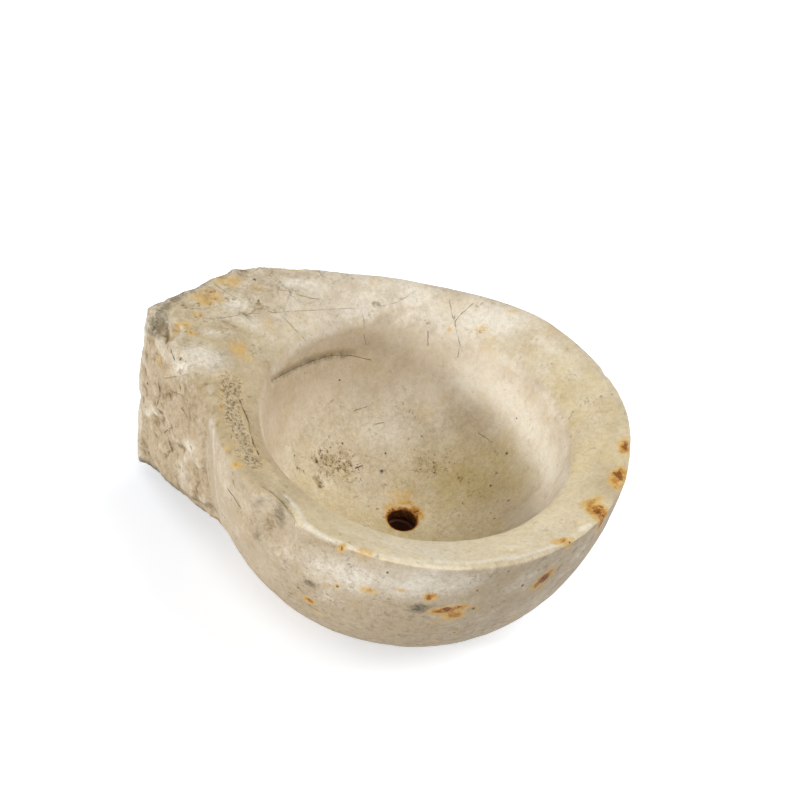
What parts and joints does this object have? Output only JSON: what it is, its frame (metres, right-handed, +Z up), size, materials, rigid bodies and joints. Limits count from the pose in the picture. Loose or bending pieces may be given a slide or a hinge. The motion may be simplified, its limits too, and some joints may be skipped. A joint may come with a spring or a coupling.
{
  "type": "holy water stoup",
  "caption": "Wall-set stone stoup: a round bowl with a broad dished rim and a drained basin, running back into a rough hewn tail that masonry holds.",
  "frame": {"origin": "middle of the stoup's outline seen from above, on the plane that the base stands on", "axes": "+Z up, square to the level rim; +Y towards the tail, which goes into the wall; -Y towards the person who uses the bowl"},
  "size_m": [0.3498, 0.393, 0.1816],
  "materials": {
    "marble": "worn carved marble, stained and pitted",
    "rusted_iron": "rusted",
    "lead": "dull, oxidised"
  },
  "bodies": {
    "root": {"stone_block": "marble", "drain_pipe": "rusted_iron", "lead_seal": "lead"}
  },
  "joints": []
}
